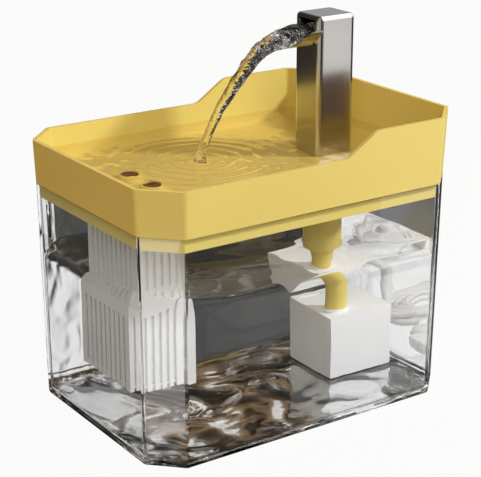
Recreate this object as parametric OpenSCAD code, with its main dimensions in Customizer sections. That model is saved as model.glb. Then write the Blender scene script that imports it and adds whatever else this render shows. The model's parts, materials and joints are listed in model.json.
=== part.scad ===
// Pet water fountain: a clear tank, a lift-off drinking tray with a stepped rim, a square
// faucet column with a trough spout, a hanging filter cartridge and a small USB pump.
// Millimetres, +Z up. The origin is the centre of the tank's footprint on the floor.
// +X is the high, faucet end. -X is the low, drinking end.

/* [Body] */
// Overall length, across the rim
body_l = 220; // [200:1:250]
// Overall width, across the rim
body_w = 159; // [146:1:180]
// Leg of the chamfer across each corner
corner_cut = 20; // [14:1:26]
// Rounding where a chamfer meets a wall
corner_r = 6; // [5:0.5:10]
// Height of the tank's rim above the floor
tank_h = 138; // [132:1:150]

/* [Tank] */
// Wall thickness of the tank
tank_wall = 3; // [2:0.1:3.6]
// Thickness of the tank's bottom
tank_floor = 2.6; // [2.2:0.1:4]
// How far each wall leans in from the rim to the floor
tank_draft = 1.9; // [0.5:0.1:3]
// Rounding round the bottom edge, outside
tank_edge_r = 2; // [1:0.1:3]
// Rounding round the bottom edge, inside
tank_cove_r = 4; // [2:0.5:6]
// Diameter of each foot pad
foot_d = 12; // [8:0.5:16]
// Whole thickness of a foot pad
foot_t = 1.6; // [1.2:0.1:2]
// How far a foot pad stands out of the tank's bottom
foot_proud = 0.7; // [0.4:0.1:1]
// Distance from the walls to the middle of a foot pad
foot_inset = 24; // [20:0.5:30]

/* [Tray] */
// Height of the low rim above the joint line
rim_low_h = 26.7; // [22:0.1:34]
// How much higher the rim is round the faucet
rim_rise = 13.8; // [8:0.2:20]
// Distance from the middle to where the rim starts to climb
slope_x = 15; // [5:1:25]
// Steepest angle of the climb
slope_angle = 33; // [25:1:45]
// Radius at both ends of the climb
slope_r = 10; // [6:0.5:12]
// How far each wall leans in from the high rim to the joint line
tray_draft = 1.5; // [0.5:0.1:2.5]
// Wall thickness of the tray
tray_wall = 2.5; // [2:0.1:3.5]
// Thickness of the tray's floor
tray_floor = 2.7; // [2:0.1:4]
// Cove where the tray's walls meet its floor
tray_cove_r = 5; // [3:0.5:8]
// How far the skirt reaches into the tank
skirt_h = 8.6; // [6:0.2:12]
// Thickness of the skirt
skirt_wall = 2.2; // [1.6:0.1:3]

/* [Drains] */
// Distance between the two drains
drain_gap = 24.8; // [24:0.2:30]
// How far the drains lie from the filter's middle towards the faucet
drain_shift = 3.4; // [0:0.2:5]
// Bore of each drain
drain_d = 11; // [9:0.2:13]
// Wall of the raised collar at its top
collar_wall = 1.6; // [1.3:0.1:2.2]
// Height of the raised collar
collar_h = 6; // [3:0.2:8]
// How far the collar spreads at its foot
collar_flare = 4; // [1:0.2:4.4]
// Rounding of the collar's rim, outside
collar_r = 0.8; // [0.4:0.1:1.2]
// How far the grate stops below the collar's rim
grate_sink = 0.6; // [0.3:0.1:1.5]
// Wall of the grate's ring
grate_wall = 1; // [0.8:0.1:1.4]
// Width of the bar across the grate
grate_bar = 1.6; // [1.2:0.1:2.5]

/* [Riser] */
// Distance from the high end wall to the faucet's axis
faucet_inset = 49; // [44:0.5:56]
// Outside diameter of the tray's downpipe boss
boss_d = 24.4; // [22:0.2:28]
// How far the boss hangs below the joint line
boss_drop = 70.5; // [50:0.5:78]
// Rounding at the boss's lower edge
boss_edge_r = 2; // [1:0.2:3]
// Outside diameter of the riser pipe
pipe_d = 14.7; // [12:0.1:16]
// Wall thickness of the riser pipe
pipe_wall = 2.1; // [1.5:0.1:2.6]
// How far the riser pipe stops short of the faucet's plug
pipe_stop = 4; // [2:0.5:8]

/* [Faucet] */
// Length of the column's section
col_l = 27; // [25:0.5:32]
// Width of the column's section
col_w = 25; // [23:0.5:28]
// Rounding of the column's upright edges
col_r = 3; // [2:0.1:4]
// Rounding round the column's top
col_top_r = 2.6; // [1.5:0.1:3.4]
// Height of the column above the tray's floor
col_h = 91; // [80:0.5:110]
// Sheet thickness of the column
col_wall = 1; // [0.8:0.1:1.4]
// Width of the outlet window
window_w = 16.4; // [12:0.2:17]
// How far the spout's trough stands out past each side of the column
spout_over = 0.5; // [0.3:0.1:1.2]
// Sheet thickness of the spout
spout_wall = 0.9; // [0.6:0.1:1.2]
// How far the spout reaches out of the column
spout_reach = 21.5; // [16:0.5:28]
// How far the spout's sides wrap back past the column's front
spout_wrap = 2.4; // [2:0.2:5]
// Distance from the column's top to the trough's centre line
spout_drop = 5.8; // [5:0.1:8]
// Distance from the trough's centre line to the top of its sides
spout_side = 2.3; // [1.5:0.1:4]
// Depth of the trough that is left at its tip
spout_tip_h = 1; // [0.6:0.1:2]
// Steepest angle of the spout's side edges
spout_angle = 42; // [35:1:50]
// Radius at both ends of that slope
spout_edge_r = 7; // [4:0.5:8]
// Bore of the water channel inside the column
channel_d = 10; // [7:0.2:12]
// Diameter of the plug that pushes into the tray
plug_d = 18; // [16:0.2:19]
// Length of that plug
plug_h = 14; // [10:0.5:18]
// Thickness of the sealing ring on the plug
seal_t = 2.2; // [1.6:0.1:2.6]

/* [Filter] */
// Distance from the low end wall to the filter's middle
filter_inset = 36; // [34:0.5:44]
// Length of the filter cage
filter_l = 31.5; // [29:0.5:36]
// Width of the filter cage
filter_w = 55.6; // [53:0.2:64]
// Height of the filter cage with its lid
filter_h = 106; // [80:1:110]
// Wall thickness of the cage
filter_wall = 1.6; // [1.2:0.1:2]
// Thickness of the lid
lid_t = 1.8; // [1.4:0.1:2.4]
// Width of a slot
slot_w = 2.2; // [1.6:0.1:2.8]
// Distance between slots on the wide sides
slot_pitch_w = 5.4; // [4.8:0.1:6]
// Distance between slots on the narrow sides
slot_pitch_l = 5; // [4.6:0.1:5.4]
// Height of the solid band between the two rows of slots
band_h = 7.5; // [5:0.5:12]
// Distance from the cage's bottom to that band
band_z = 45.5; // [30:0.5:60]
// Depth of the socket under the tray that holds the filter
socket_h = 7.5; // [5:0.5:8.4]
// Wall of that socket
socket_wall = 1.8; // [1.4:0.1:2.4]
// Thickness of the cotton sleeve
cotton_t = 3; // [2:0.2:4]

/* [Pump] */
// Length of the pump along X
pump_l = 48; // [46:0.5:54]
// Length of the pump along Y, with its cover
pump_w = 54; // [52:0.5:60]
// Height of the pump's case
pump_h = 40.1; // [38:0.1:46]
// Wall thickness of the case
pump_wall = 2.4; // [2:0.1:3]
// Depth of the cover that pulls off the front
cover_w = 6; // [5:0.5:8]
// Distance from the pump's low end face to the outlet
outlet_x = 12.5; // [11:0.5:16]
// Distance from the cover to the outlet
outlet_y = 8.5; // [8.4:0.1:9.4]
// Diameter of the white flange under the riser pipe
flange_d = 16.6; // [16:0.1:16.8]
// Thickness of that flange
flange_t = 2; // [1.4:0.1:3]
// Length of the nozzle inside the riser pipe
nozzle_h = 9; // [6:0.5:14]
// Wall thickness of the nozzle
nozzle_wall = 1.3; // [1:0.1:1.6]
// Radius of the impeller chamber
volute_r = 14; // [13:0.1:14.6]
// Depth of the impeller chamber
volute_w = 13; // [12:0.2:15]
// Radius of the rotor's well
well_r = 6.5; // [6:0.1:7.4]
// Depth of the rotor's well
well_w = 24; // [22:0.5:26]
// Number of impeller blades
blades = 6; // [4:1:8]
// Thickness of an impeller blade
blade_t = 1.2; // [1:0.1:1.6]
// Diameter of the ceramic shaft
shaft_d = 2; // [1.6:0.1:2.4]
// Diameter of the pump's rubber feet
pump_foot_d = 8; // [6:0.5:10]

/* [Cord] */
// Diameter of the USB cord
cord_d = 4; // [3.6:0.1:4.2]
// Distance from the chamfer to where the cord crosses the rim
cord_inset = 9.5; // [8:0.5:12]
// Width of the plug's moulded body
usb_w = 16; // [15:0.5:18]
// Length of the plug's moulded body
usb_l = 22; // [18:0.5:26]
// Thickness of the plug's moulded body
usb_t = 8; // [7:0.5:9]
// Diameter of the sleeve behind the plug
sleeve_d = 6.4; // [5.6:0.1:6.8]
// Length of that sleeve
sleeve_l = 14; // [10:1:16]

/* [Fits] */
// Gap between pieces that rest on or in each other and come apart
seat_gap = 0.3; // [0.2:0.05:0.4]
// Radial gap of a sliding fit
slip_gap = 0.1; // [0.06:0.02:0.14]
// Radial gap of the running fit on the ceramic shaft
shaft_gap = 0.05; // [0.02:0.01:0.08]

/* [Hidden] */
$fn = 48;
cut = 0.5;          // how far a cutting tool runs past a face
arc_n = 5;          // facets in each rounded corner
edge_n = 4;         // facets in each rounded edge
min_r = 1;          // smallest corner radius that an inset leaves
root2 = sqrt(2);

// Heights
floor_z = foot_proud + tank_floor;      // top of the tank's bottom
tray_z = tank_h + seat_gap;             // underside of the tray's floor and wall
basin_z = tray_z + tray_floor;          // top of the tray's floor
rim_low_z = tray_z + rim_low_h;
rim_high_z = rim_low_z + rim_rise;

// Main axes
faucet_x = body_l/2 - faucet_inset;
filter_x = filter_inset - body_l/2;
drain_x = filter_x + drain_shift;
drain_y = drain_gap/2;

// The climb of the rim
slope_run = (rim_rise - 2*slope_r*(1 - cos(slope_angle)))/sin(slope_angle);

// Tray bores
boss_z = tray_z - boss_drop;
plug_z = basin_z - plug_h;              // lower end of the faucet's plug
pipe_top_z = plug_z - pipe_stop;
drain_ledge = 1;                        // ledge at the foot of each drain bore
grate_z = tray_z + drain_ledge + slip_gap;      // underside of the grates
grate_h = basin_z + collar_h - grate_sink - grate_z;

// Faucet
col_z = basin_z + seat_gap;
col_top_z = basin_z + col_h;
col_front = faucet_x - col_l/2;
spout_r = col_w/2 + spout_over;         // outside radius of the trough
spout_z = col_top_z - spout_drop;       // centre line of the trough
window_top_z = col_top_z - col_top_r;
sill_z = spout_z - spout_r + spout_wall;
spout_edge_z = spout_z - spout_side;
spout_tip_z = spout_z - spout_r + spout_tip_h;
spout_fall = spout_edge_z - spout_tip_z;
core_l = col_l - 2*col_wall - 2*slip_gap;
core_w = col_w - 2*col_wall - 2*slip_gap;
core_r = max(col_r - col_wall - slip_gap, min_r);
core_back = 5;                          // core left behind the outlet chamber
groove_z = plug_z + plug_h/2;
groove_deep = 1.2;

// Filter
cage_top_z = tray_z - seat_gap - lid_t;
cage_z = tray_z - seat_gap - filter_h;  // bottom of the cage
cage_plate_z = cage_z + 2;              // underside of the plate inside it
slots_w = floor((filter_w - 2*filter_wall)/slot_pitch_w);
slots_l = floor((filter_l - 2*filter_wall)/slot_pitch_l);
slot_top_z = cage_top_z - 6;
lid_lip = 2;
cotton_top_z = cage_top_z - 14;
cotton_gap = 0.4;
carbon_top_z = cotton_top_z - 16;

// Pump
pump_z = floor_z + 0.6;                 // underside of the case, on its feet
pump_x = faucet_x - outlet_x;           // low end face
pump_y = -outlet_y - cover_w;           // cover's face
pump_top_z = pump_z + pump_h;
case_y = pump_y + cover_w + seat_gap;   // front of the housing behind the cover
case_back = pump_y + pump_w;
rotor_x = pump_x + pump_l/2;
rotor_z = pump_z + pump_h/2;
volute_back = case_y + volute_w;
well_back = volute_back + well_w;
well_wall = 1.4;
bush_d = shaft_d + 3;
bush_t = 2.4;
socket_d = pipe_d - 2*pipe_wall - 2*slip_gap + 2;   // bore in the case for the nozzle
outlet_d = pipe_d - 2*pipe_wall - 2*slip_gap - 2*nozzle_wall;
socket_deep = 4;
cap_t = 2;                              // thickness of the case's rear cap
pole_w = 4;                             // thickness of a stator leg
pole_h = 12;                            // height of a stator leg
wind_t = 2.2;                           // thickness of a winding
pocket_y = volute_back + 4;             // front of the dry pocket round the well
pump_foot_sink = 0.8;
vent_l = 17;                            // slot in the top of the case
vent_w = 2.6;
vent_deep = 1.2;
magnet_r = well_r - 0.6;
quill_r = shaft_d/2 + 1.4;              // impeller sleeve inside the magnet
blade_r = volute_r - 1;
blade_w = 6;

// Cord
cord_y = body_w/2 - corner_cut - cord_inset;    // where the cord crosses the tank's rim
notch_w = cord_d + 3;
notch_z = tank_h - notch_w/2;           // centre line of the cord in the rim notch
gland_x = pump_x + pump_l - 13;
gland_z = pump_z + 9;
gland_l = 10;
coil_x = 149.5;
coil_y = 72;
coil_r = 23.5;                          // middle of the turns
coil_turns = 4;                         // turns side by side in a layer
coil_layers = 2;
coil_h = coil_layers*cord_d;
coil_half = coil_turns*cord_d/2;
usb_x = 125;
usb_y = 28;                             // where the sleeve's rear end lies
usb_z = usb_t/2;
shell_w = 12;
shell_t = 4.5;
shell_l = 14.4;
shell_wall = 0.4;
shell_hole = 2.3;

// Route of the cord from the pump's gland over the rim and down to the coil
cord_route = [
    [gland_x, case_back + gland_l, gland_z], [gland_x, 54, 13], [86, 58, 14], [90, 59, 20],
    [92.5, 57, 30], [93, cord_y + 4, 46], [93, cord_y + 2, 66], [93, cord_y + 1, 88],
    [93, cord_y, 108], [93, cord_y, 122], [94, cord_y, 128.4], [97, cord_y, 132.8],
    [101, cord_y, notch_z], [106, cord_y, notch_z], [110, cord_y, notch_z],
    [113.6, cord_y, 133.2], [116.6, cord_y, 130], [118, cord_y, 124], [118, cord_y, 108],
    [118.6, cord_y, 84], [118.6, cord_y, 60], [118, cord_y, 36], [118, 50.4, 18],
    [118, 52, 10], [118, 56, 4], [118.4, 62, 2], [119.4, 67, 2], [120, 72, 2]
];
// The other end of the cord, from the coil's outer turn to the plug's sleeve
tail_route = [
    [150, 42.5, 6], [144, 42.6, 5.6], [137, 41.6, 5], [130, 38.4, 4.4], [126, 33.4, 4],
    [usb_x, usb_y, usb_z]
];

// ---------- shared shapes ----------

// Octagon with rounded corners: a rectangle with a chamfer across each corner
function outline(l, w, leg, r) =
    let(s = (l + w)/2 - leg - r*root2)
    [for (j = [0:7]) let(
        mid = 22.5 + 45*j,
        on_end = abs(cos(mid)) > abs(sin(mid)),
        cx = sign(cos(mid))*(on_end ? l/2 - r : s - w/2 + r),
        cy = sign(sin(mid))*(on_end ? s - l/2 + r : w/2 - r))
        for (i = [0:arc_n]) let(a = 45*(j + i/arc_n)) [cx + r*cos(a), cy + r*sin(a)]];

// Rectangle with rounded corners
function rounded(l, w, r) =
    [for (j = [0:3]) let(
        mid = 45 + 90*j,
        cx = sign(cos(mid))*(l/2 - r),
        cy = sign(sin(mid))*(w/2 - r))
        for (i = [0:arc_n]) let(a = 90*(j + i/arc_n)) [cx + r*cos(a), cy + r*sin(a)]];

function lift(points, z) = [for (p = points) [p.x, p.y, z]];

// The body's outline at a height, moved inwards
function body_ring(inset, z) =
    lift(outline(body_l - 2*inset, body_w - 2*inset, corner_cut - (2 - root2)*inset,
        max(corner_r - inset, min_r)), z);

// How far the outer face stands inside the overall size at a height
function skin(z) = z < tray_z
    ? tray_draft + tank_draft*(tray_z - z)/tray_z
    : tray_draft*(rim_high_z - z)/(rim_high_z - tray_z);

// A curve that leaves one level, slopes at angle a and comes level again
function s_curve(x0, z0, way, rise, r, a) =
    let(run = (abs(rise) - 2*r*(1 - cos(a)))/sin(a), up = sign(rise),
        x1 = x0 + way*(2*r*sin(a) + run*cos(a)))
    concat(
        [for (i = [0:edge_n]) let(t = a*i/edge_n)
            [x0 + way*r*sin(t), z0 + up*r*(1 - cos(t))]],
        [for (i = [edge_n:-1:0]) let(t = a*i/edge_n)
            [x1 - way*r*sin(t), z0 + rise - up*r*(1 - cos(t))]]);

// Solid through a stack of rings that have as many points each, listed from the bottom
module loft(rings) {
    n = len(rings[0]);
    top = len(rings) - 1;
    polyhedron(
        points = [for (ring = rings) for (p = ring) p],
        faces = concat(
            [[for (i = [0:n - 1]) i]],
            [for (k = [0:top - 1]) for (i = [0:n - 1]) let(j = (i + 1) % n)
                [k*n + i, (k + 1)*n + i, (k + 1)*n + j, k*n + j]],
            [[for (i = [n - 1:-1:0]) top*n + i]]),
        convexity = 6);
}

// Cylinder along +Y
module rod_y(x, y, z, r, w) {
    translate([x, y, z]) rotate([-90, 0, 0]) cylinder(h = w, r = r);
}

// Cuboid given by its two corners
module block(low, high) {
    translate(low) cube(high - low);
}

// Unit vectors and frames for the swept cord
function unit(v) = v/norm(v);
function along(path, i) = unit(path[min(i + 1, len(path) - 1)] - path[max(i - 1, 0)]);
function flat(v, t) = unit(v - (v*t)*t);

// Side vectors carried along a path without twisting
function sides(path, i = 0, last = [0, 0, 1], made = []) =
    i == len(path) ? made
    : let(s = flat(last, along(path, i))) sides(path, i + 1, s, concat(made, [s]));

// A smooth path through chosen points, with as many steps in each stretch
function smooth(p, steps) =
    concat([for (i = [0:len(p) - 2]) let(
        a = p[max(i - 1, 0)], b = p[i], c = p[i + 1], d = p[min(i + 2, len(p) - 1)])
        for (k = [0:steps - 1]) let(t = k/steps)
            0.5*(2*b + (c - a)*t + (2*a - 5*b + 4*c - d)*t*t + (3*b - a - 3*c + d)*t*t*t)],
        [p[len(p) - 1]]);

// Round tube swept along a path, as one solid
module sweep(path, r, n) {
    side = sides(path);
    loft([for (i = [0:len(path) - 1]) let(
        t = along(path, i), u = side[i], v = cross(t, u))
        [for (k = [0:n - 1]) path[i] + r*(cos(360*k/n)*u + sin(360*k/n)*v)]]);
}

// ---------- tank ----------

function foot_at(i) = [
    (i % 2 == 0 ? 1 : -1)*(body_l/2 - foot_inset),
    (i < 3 ? 1 : -1)*(body_w/2 - foot_inset)];

module tank() {
    color([0.86, 0.9, 0.92, 0.4])
    difference() {
        loft(concat(
            [for (k = [0:edge_n]) let(a = 90*k/edge_n, z = foot_proud + tank_edge_r*(1 - cos(a)))
                body_ring(skin(z) + tank_edge_r*(1 - sin(a)), z)],
            [body_ring(skin(tank_h), tank_h)]));
        loft(concat(
            [for (k = [0:edge_n]) let(a = 90*k/edge_n, z = floor_z + tank_cove_r*(1 - cos(a)))
                body_ring(skin(z) + tank_wall + tank_cove_r*(1 - sin(a)), z)],
            [body_ring(skin(tank_h + cut) + tank_wall, tank_h + cut)]));
        for (i = [1:4])
            translate([foot_at(i).x, foot_at(i).y, 0])
                cylinder(h = foot_t + seat_gap, d = foot_d + 2*slip_gap);
        rim_notch(notch_w);
    }
}

// The cord's way through the high end wall: round at the bottom and open at the rim
module rim_notch(w) {
    translate([body_l/2 - 2*tank_wall, cord_y, notch_z])
        rotate([0, 90, 0]) cylinder(h = 4*tank_wall, d = w);
    block([body_l/2 - 2*tank_wall, cord_y - w/2, notch_z],
        [body_l/2 + 2*tank_wall, cord_y + w/2, tank_h + cut]);
}

module tank_foot(i) {
    color([0.82, 0.84, 0.85])
    translate([foot_at(i).x, foot_at(i).y, 0])
        rotate_extrude()
            polygon([[0, 0], [foot_d/2 - foot_proud/2, 0], [foot_d/2, foot_proud/2],
                [foot_d/2, foot_t], [0, foot_t]]);
}

// Soft plug in the rim notch, with a lip on both faces of the wall
module cord_grommet() {
    wall_x = body_l/2 - skin(tank_h);
    lip = 1;
    color([0.93, 0.93, 0.92])
    difference() {
        union() {
            grommet_slice(wall_x - tank_wall - lip - slip_gap, wall_x + lip, notch_w - 2*slip_gap,
                tank_h);
            grommet_slice(wall_x + slip_gap, wall_x + lip + slip_gap, notch_w + 2*lip,
                tank_h - slip_gap);
            grommet_slice(wall_x - tank_wall - lip - slip_gap, wall_x - tank_wall - slip_gap,
                notch_w + 2*lip, tank_h - slip_gap);
        }
        translate([wall_x - 2*tank_wall, cord_y, notch_z])
            rotate([0, 90, 0]) cylinder(h = 4*tank_wall, d = cord_d + 2*slip_gap);
    }
}

// Slice of the grommet: round at the bottom, flat at the rim
module grommet_slice(x0, x1, w, top_z) {
    intersection() {
        translate([x0, cord_y, notch_z]) rotate([0, 90, 0]) cylinder(h = x1 - x0, d = w);
        block([x0, cord_y - w/2, notch_z - w], [x1, cord_y + w/2, top_z]);
    }
    block([x0, cord_y - w/2, notch_z], [x1, cord_y + w/2, top_z]);
}

// ---------- tray ----------

module tray() {
    color([0.94, 0.83, 0.46])
    difference() {
        union() {
            tray_shell();
            tray_skirt();
            boss_outside();
            filter_socket();
            for (y = [-drain_y, drain_y]) drain_collar(y);
        }
        boss_bores();
        for (y = [-drain_y, drain_y]) {
            translate([drain_x, y, tray_z - cut])
                cylinder(h = tray_floor + collar_h + 2*cut, d = drain_d - 2*grate_wall);
            translate([drain_x, y, tray_z + drain_ledge])
                cylinder(h = tray_floor + collar_h, d = drain_d);
        }
    }
}

// Collar round a drain: a foot that sweeps up from the floor, and a rounded rim
module drain_collar(y) {
    out = drain_d/2 + collar_wall;
    sweep_h = collar_h - collar_r;
    translate([drain_x, y, basin_z])
        rotate_extrude()
            polygon(concat([[0, -cut], [out + collar_flare, -cut]],
                [for (k = [0:edge_n]) let(a = 90*k/edge_n)
                    [out + collar_flare*(1 - sin(a)), sweep_h*(1 - cos(a))]],
                [for (k = [1:edge_n]) let(a = 90*k/edge_n)
                    [out - collar_r*(1 - cos(a)), sweep_h + collar_r*sin(a)]],
                [[0, collar_h]]));
}

// Drafted wall and floor, cut to the stepped rim
module tray_shell() {
    difference() {
        loft([body_ring(skin(tray_z), tray_z), body_ring(skin(rim_high_z), rim_high_z)]);
        loft(concat(
            [for (k = [0:edge_n]) let(a = 90*k/edge_n, z = basin_z + tray_cove_r*(1 - cos(a)))
                body_ring(skin(z) + tray_wall + tray_cove_r*(1 - sin(a)), z)],
            [body_ring(skin(rim_high_z + cut) + tray_wall, rim_high_z + cut)]));
        rotate([90, 0, 0])
            linear_extrude(height = body_w + 2*cut, center = true)
                polygon(concat(
                    s_curve(slope_x, rim_low_z, 1, rim_rise, slope_r, slope_angle),
                    [[body_l, rim_high_z], [body_l, rim_high_z + rim_rise],
                        [-body_l, rim_high_z + rim_rise], [-body_l, rim_low_z]]));
    }
}

// Ring under the tray that plugs into the tank
module tray_skirt() {
    in = tank_wall + seat_gap;
    low_z = tray_z - skirt_h;
    difference() {
        loft([body_ring(skin(low_z) + in, low_z), body_ring(skin(tank_h) + in, tray_z + cut)]);
        loft([body_ring(skin(low_z) + in + skirt_wall, low_z - cut),
            body_ring(skin(tank_h) + in + skirt_wall, tray_z)]);
        block([body_l/2 - 4*tank_wall, cord_y - notch_w, low_z - cut],
            [body_l/2, cord_y + notch_w, tray_z]);
    }
}

module boss_outside() {
    translate([faucet_x, 0, boss_z])
        rotate_extrude()
            polygon(concat([[0, 0]],
                [for (k = [0:edge_n]) let(a = 90*k/edge_n)
                    [boss_d/2 - boss_edge_r*(1 - sin(a)), boss_edge_r*(1 - cos(a))]],
                [[boss_d/2, boss_drop + cut], [0, boss_drop + cut]]));
}

module boss_bores() {
    translate([faucet_x, 0, boss_z - cut]) cylinder(h = boss_drop + 2*cut, d = pipe_d + 2*slip_gap);
    translate([faucet_x, 0, plug_z - seat_gap])
        cylinder(h = plug_h + seat_gap + cut, d = plug_d + 2*slip_gap);
}

// Frame under the floor that the filter pushes into
module filter_socket() {
    l = filter_l + 2*seat_gap;
    w = filter_w + 2*seat_gap;
    low = [filter_x, 0, tray_z - socket_h];
    difference() {
        block(low - [l/2 + socket_wall, w/2 + socket_wall, 0],
            low + [l/2 + socket_wall, w/2 + socket_wall, socket_h + cut]);
        block(low - [l/2, w/2, cut], low + [l/2, w/2, socket_h]);
    }
}

// Thimble with a bar across its mouth that keeps hair out of a drain
module drain_grate(side) {
    color([0.9, 0.77, 0.38])
    translate([drain_x, side*drain_y, grate_z]) {
        difference() {
            cylinder(h = grate_h, d = drain_d - 2*slip_gap);
            translate([0, 0, -cut]) cylinder(h = grate_h + 2*cut, d = drain_d - 2*slip_gap - 2*grate_wall);
        }
        block([-drain_d/2 + grate_wall, -grate_bar/2, grate_h - grate_bar],
            [drain_d/2 - grate_wall, grate_bar/2, grate_h]);
    }
}

// ---------- faucet ----------

module faucet_column() {
    color([0.62, 0.6, 0.57])
    difference() {
        translate([faucet_x, 0, 0])
            loft(concat([lift(rounded(col_l, col_w, col_r), col_z)],
                [for (k = [0:edge_n]) let(a = 90*k/edge_n, t = col_top_r*(1 - cos(a)))
                    lift(rounded(col_l - 2*t, col_w - 2*t, max(col_r - t, 0.5)),
                        col_top_z - col_top_r + col_top_r*sin(a))]));
        translate([faucet_x, 0, 0])
            loft([for (z = [col_z - cut, col_top_z - col_wall])
                lift(rounded(col_l - 2*col_wall, col_w - 2*col_wall, max(col_r - col_wall, min_r)),
                    z)]);
        block([col_front - cut, -window_w/2, sill_z],
            [col_front + col_wall + cut, window_w/2, window_top_z]);
    }
}

// Half-round trough welded round the window, its sides cut in an S from root to tip
module spout_lip() {
    root_x = col_front + spout_wrap;
    tip_x = col_front - spout_reach;
    slope = s_curve(col_front - 3, spout_edge_z, -1, -spout_fall, spout_edge_r, spout_angle);
    color([0.72, 0.7, 0.67])
    difference() {
        intersection() {
            translate([root_x, 0, spout_z]) rotate([0, -90, 0])
                cylinder(h = spout_reach + spout_wrap, r = spout_r);
            rotate([90, 0, 0])
                linear_extrude(height = 2*spout_r + 2*cut, center = true)
                    polygon(concat([[root_x, spout_edge_z]], slope,
                        [[tip_x - cut, spout_tip_z], [tip_x - cut, spout_z - spout_r - cut],
                            [root_x, spout_z - spout_r - cut]]));
        }
        translate([root_x + cut, 0, spout_z]) rotate([0, -90, 0])
            cylinder(h = spout_reach + spout_wrap + 2*cut, r = spout_r - spout_wall);
        translate([faucet_x, 0, 0])
            loft([for (z = [spout_z - 2*spout_r, col_top_z]) lift(rounded(col_l, col_w, col_r), z)]);
    }
}

// Black moulded core: plug, water channel and the chamber behind the window
module faucet_core() {
    chamber_z = sill_z + 0.4;
    top_z = col_top_z - col_wall - seat_gap;
    color([0.06, 0.06, 0.07])
    difference() {
        union() {
            translate([faucet_x, 0, 0])
                loft([for (z = [col_z, top_z]) lift(rounded(core_l, core_w, core_r), z)]);
            translate([faucet_x, 0, plug_z]) cylinder(h = plug_h + 2*seat_gap, d = plug_d);
        }
        translate([faucet_x, 0, plug_z - cut])
            cylinder(h = chamber_z - plug_z + 2*cut, d = channel_d);
        block([col_front, -window_w/2 + slip_gap, chamber_z],
            [faucet_x + core_l/2 - core_back, window_w/2 - slip_gap, top_z - 2*col_wall]);
        translate([faucet_x, 0, groove_z - seal_t/2])
            difference() {
                cylinder(h = seal_t, d = plug_d + 2*cut);
                translate([0, 0, -cut]) cylinder(h = seal_t + 2*cut, d = plug_d - 2*groove_deep);
            }
    }
}

module faucet_seal() {
    color([0.75, 0.75, 0.74])
    translate([faucet_x, 0, groove_z - seal_t/2 + slip_gap])
        difference() {
            cylinder(h = seal_t - 2*slip_gap, d = plug_d + slip_gap);
            translate([0, 0, -cut]) cylinder(h = seal_t + 2*cut, d = plug_d - 2*groove_deep + slip_gap);
        }
}

// ---------- filter ----------

// Rows of upright slots, through both opposite walls at once
module slot_rows(count, pitch, reach, turn) {
    for (row = [[cage_z - cut, cage_z + band_z], [cage_z + band_z + band_h, slot_top_z]])
        for (k = [0:count - 1])
            translate([filter_x, 0, 0]) rotate([0, 0, turn])
                translate([0, (k - (count - 1)/2)*pitch, 0])
                    block([-reach/2 - cut, -slot_w/2, row[0]], [reach/2 + cut, slot_w/2, row[1]]);
}

module cage_box(inset, z0, z1) {
    block([filter_x - filter_l/2 + inset, -filter_w/2 + inset, z0],
        [filter_x + filter_l/2 - inset, filter_w/2 - inset, z1]);
}

module filter_cage() {
    color([0.93, 0.93, 0.92]) {
        difference() {
            cage_box(0, cage_z, cage_top_z);
            cage_box(filter_wall, cage_z - cut, cage_top_z + cut);
            slot_rows(slots_w, slot_pitch_w, filter_l, 0);
            slot_rows(slots_l, slot_pitch_l, filter_w, 90);
        }
        cage_box(filter_wall/2, cage_plate_z, cage_plate_z + filter_wall);
    }
}

module filter_lid() {
    lip_in = filter_wall + slip_gap;
    color([0.9, 0.9, 0.89])
    difference() {
        union() {
            cage_box(0, cage_top_z, cage_top_z + lid_t);
            cage_box(lip_in, cage_top_z - lid_lip, cage_top_z);
        }
        cage_box(lip_in + filter_wall, cage_top_z - lid_lip - cut, cage_top_z);
        for (y = [-drain_y, drain_y])
            translate([drain_x, y, cage_top_z - cut]) cylinder(h = lid_t + 2*cut, d = drain_d);
    }
}

// Cotton bag: a sleeve with a closed top, loosely in the cage
module filter_cotton() {
    inset = filter_wall + cotton_gap;
    low_z = cage_plate_z + filter_wall + seat_gap;
    color([0.96, 0.96, 0.94])
    difference() {
        cage_box(inset, low_z, cotton_top_z);
        cage_box(inset + cotton_t, low_z - cut, cotton_top_z - cotton_t);
    }
}

module carbon_pack() {
    color([0.13, 0.13, 0.14])
    cage_box(filter_wall + 2*cotton_gap + cotton_t, cage_plate_z + filter_wall + seat_gap,
        carbon_top_z);
}

// ---------- riser and pump ----------

module riser_pipe() {
    low_z = pump_top_z + flange_t;
    color([0.92, 0.79, 0.4])
    translate([faucet_x, 0, low_z])
        difference() {
            cylinder(h = pipe_top_z - low_z, d = pipe_d);
            translate([0, 0, -cut]) cylinder(h = pipe_top_z - low_z + 2*cut, d = pipe_d - 2*pipe_wall);
        }
}

module outlet_nozzle() {
    color([0.95, 0.95, 0.94])
    translate([faucet_x, 0, pump_top_z])
        difference() {
            union() {
                cylinder(h = flange_t, d = flange_d);
                cylinder(h = flange_t + nozzle_h, d = pipe_d - 2*pipe_wall - 2*slip_gap);
                translate([0, 0, -socket_deep + slip_gap])
                    cylinder(h = socket_deep, d = socket_d - 2*slip_gap);
            }
            translate([0, 0, -socket_deep - cut])
                cylinder(h = socket_deep + flange_t + nozzle_h + 2*cut, d = outlet_d);
        }
}

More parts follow.
